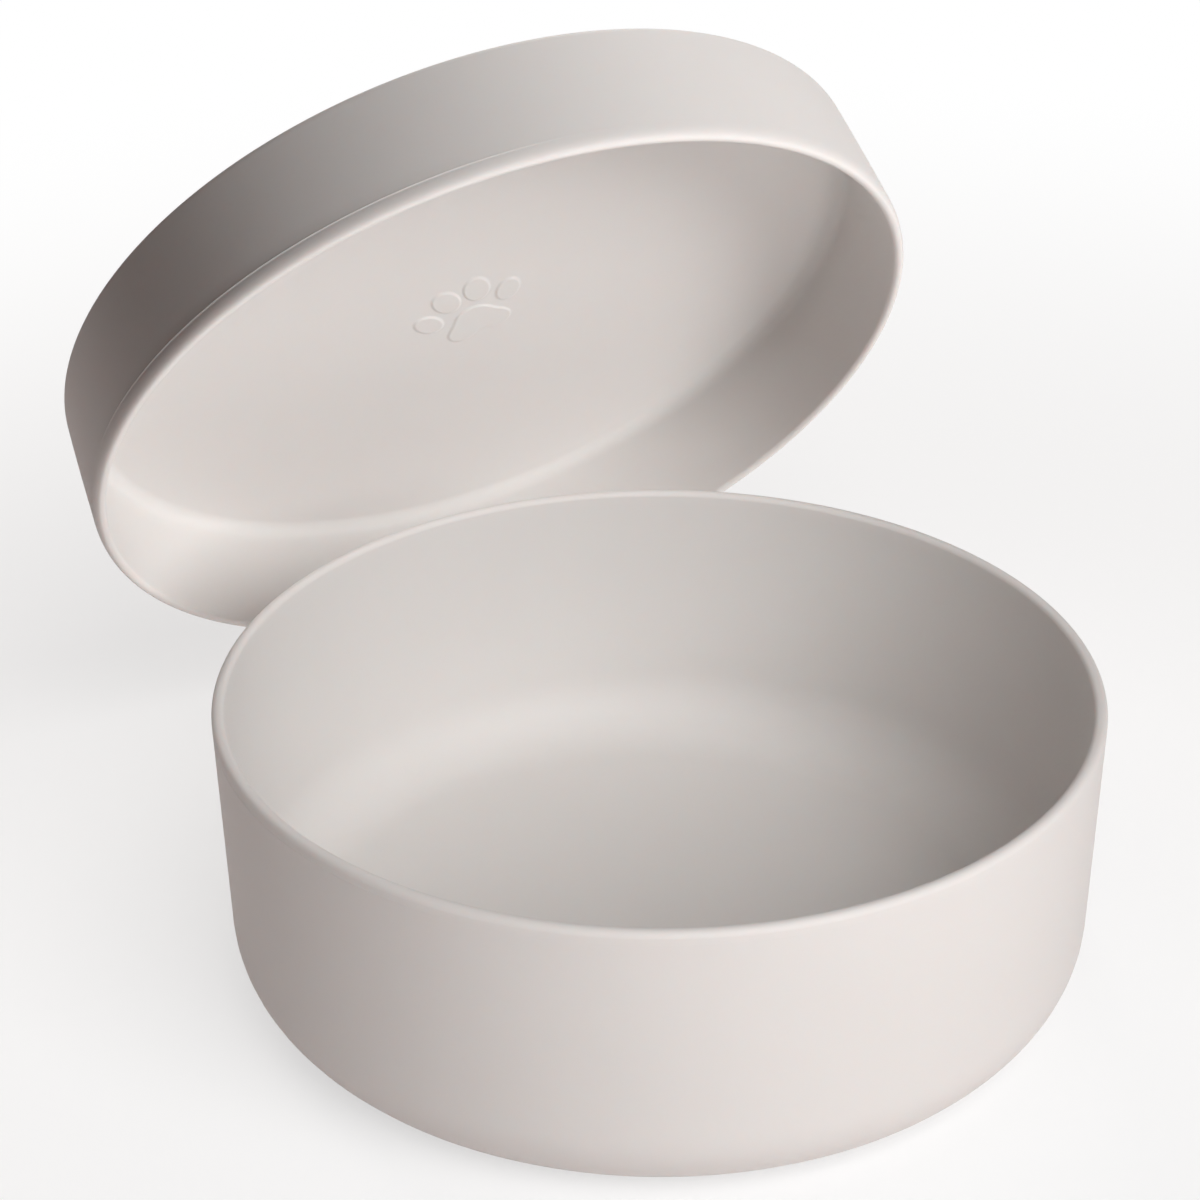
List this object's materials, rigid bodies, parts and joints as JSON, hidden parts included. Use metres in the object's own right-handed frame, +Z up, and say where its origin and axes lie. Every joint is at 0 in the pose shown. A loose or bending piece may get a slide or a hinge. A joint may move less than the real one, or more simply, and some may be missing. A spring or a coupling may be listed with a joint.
{
  "type": "pet food bowl with lid",
  "caption": "Round straight-sided soft bowl with a rounded foot, and a shallow cap lid that goes over its rim, shown off and tilted behind it.",
  "frame": {"origin": "centre of the bowl's flat underside, on the surface that the bowl stands on", "axes": "+Z is up, along the bowl's axis and out of its mouth; -Y is the front that the picture looks at; +X is to the right"},
  "size_m": [0.1948, 0.2189, 0.1632],
  "materials": {
    "silicone": "matte, soft, pale warm grey silicone"
  },
  "bodies": {
    "bowl_body": {"bowl": "silicone"},
    "lid_body": {"lid": "silicone"}
  },
  "joints": [
    {"name": "lid_lift", "type": "slide", "parent": "bowl_body", "child": "lid_body", "axis": [0, 0, 1], "range_m": [0, 0.06]}
  ]
}
